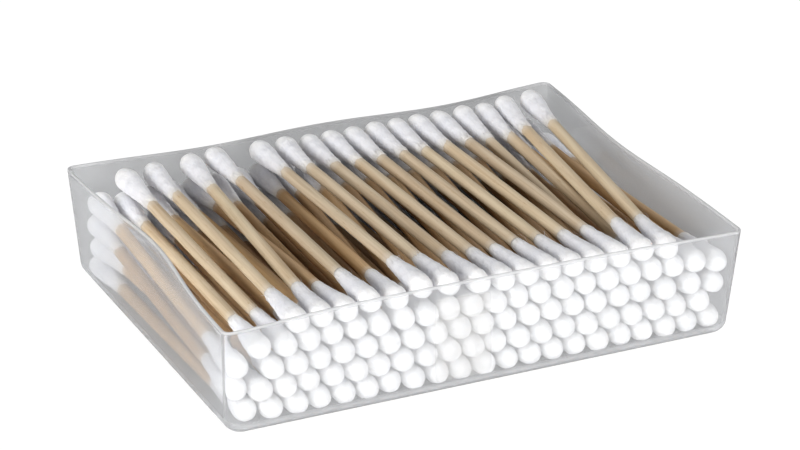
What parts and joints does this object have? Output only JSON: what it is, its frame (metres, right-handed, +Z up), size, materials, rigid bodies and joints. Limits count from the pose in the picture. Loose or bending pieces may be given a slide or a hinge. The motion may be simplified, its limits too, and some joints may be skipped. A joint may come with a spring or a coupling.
{
  "type": "tray of wooden-stick cotton swabs",
  "caption": "Open translucent plastic tray filled with double-ended cotton swabs on wooden sticks, for ear and cosmetic cleaning.",
  "frame": {"origin": "centre of the tray's underside, on the surface it stands on", "axes": "+X along the long side, +Y along the swabs from the front wall to the back wall, +Z up out of the open top"},
  "size_m": [0.1126, 0.0874, 0.0266],
  "materials": {
    "tray_plastic": "thin frosted translucent polypropylene, glossy on the rim",
    "label_film": "blank matt film patch",
    "cotton": "wound cotton fibre, soft and matt",
    "wood": "raw pale birch, unvarnished, fine grain",
    "swab_fill": "packed swabs: white cotton heads on pale wooden sticks"
  },
  "bodies": {
    "tray": {"tray": "tray_plastic", "front_label": "label_film", "row_1": "swab_fill", "row_2": "swab_fill", "row_3": "swab_fill", "row_4": "swab_fill", "stick_01": "wood", "front_bud_01": "cotton", "back_bud_01": "cotton", "stick_02": "wood", "front_bud_02": "cotton", "back_bud_02": "cotton", "stick_15": "wood", "front_bud_15": "cotton", "back_bud_15": "cotton", "stick_16": "wood", "front_bud_16": "cotton", "back_bud_16": "cotton"},
    "swab_03": {"stick_03": "wood", "front_bud_03": "cotton", "back_bud_03": "cotton"},
    "swab_04": {"stick_04": "wood", "front_bud_04": "cotton", "back_bud_04": "cotton"},
    "swab_05": {"stick_05": "wood", "front_bud_05": "cotton", "back_bud_05": "cotton"},
    "swab_06": {"stick_06": "wood", "front_bud_06": "cotton", "back_bud_06": "cotton"},
    "swab_07": {"stick_07": "wood", "front_bud_07": "cotton", "back_bud_07": "cotton"},
    "swab_08": {"stick_08": "wood", "front_bud_08": "cotton", "back_bud_08": "cotton"},
    "swab_09": {"stick_09": "wood", "front_bud_09": "cotton", "back_bud_09": "cotton"},
    "swab_10": {"stick_10": "wood", "front_bud_10": "cotton", "back_bud_10": "cotton"},
    "swab_11": {"stick_11": "wood", "front_bud_11": "cotton", "back_bud_11": "cotton"},
    "swab_12": {"stick_12": "wood", "front_bud_12": "cotton", "back_bud_12": "cotton"},
    "swab_13": {"stick_13": "wood", "front_bud_13": "cotton", "back_bud_13": "cotton"},
    "swab_14": {"stick_14": "wood", "front_bud_14": "cotton", "back_bud_14": "cotton"},
    "swab_17": {"stick_17": "wood", "front_bud_17": "cotton", "back_bud_17": "cotton"},
    "swab_18": {"stick_18": "wood", "front_bud_18": "cotton", "back_bud_18": "cotton"}
  },
  "joints": [
    {"name": "swab_03_lift", "type": "slide", "parent": "tray", "child": "swab_03", "axis": [0, 0, 1], "range_m": [0, 0.04]},
    {"name": "swab_04_lift", "type": "slide", "parent": "tray", "child": "swab_04", "axis": [0, 0, 1], "range_m": [0, 0.04]},
    {"name": "swab_05_lift", "type": "slide", "parent": "tray", "child": "swab_05", "axis": [0, 0, 1], "range_m": [0, 0.04]},
    {"name": "swab_06_lift", "type": "slide", "parent": "tray", "child": "swab_06", "axis": [0, 0, 1], "range_m": [0, 0.04]},
    {"name": "swab_07_lift", "type": "slide", "parent": "tray", "child": "swab_07", "axis": [0, 0, 1], "range_m": [0, 0.04]},
    {"name": "swab_08_lift", "type": "slide", "parent": "tray", "child": "swab_08", "axis": [0, 0, 1], "range_m": [0, 0.04]},
    {"name": "swab_09_lift", "type": "slide", "parent": "tray", "child": "swab_09", "axis": [0, 0, 1], "range_m": [0, 0.04]},
    {"name": "swab_10_lift", "type": "slide", "parent": "tray", "child": "swab_10", "axis": [0, 0, 1], "range_m": [0, 0.04]},
    {"name": "swab_11_lift", "type": "slide", "parent": "tray", "child": "swab_11", "axis": [0, 0, 1], "range_m": [0, 0.04]},
    {"name": "swab_12_lift", "type": "slide", "parent": "tray", "child": "swab_12", "axis": [0, 0, 1], "range_m": [0, 0.04]},
    {"name": "swab_13_lift", "type": "slide", "parent": "tray", "child": "swab_13", "axis": [0, 0, 1], "range_m": [0, 0.04]},
    {"name": "swab_14_lift", "type": "slide", "parent": "tray", "child": "swab_14", "axis": [0, 0, 1], "range_m": [0, 0.04]},
    {"name": "swab_17_lift", "type": "slide", "parent": "tray", "child": "swab_17", "axis": [0, 0, 1], "range_m": [0, 0.04]},
    {"name": "swab_18_lift", "type": "slide", "parent": "tray", "child": "swab_18", "axis": [0, 0, 1], "range_m": [0, 0.04]}
  ]
}
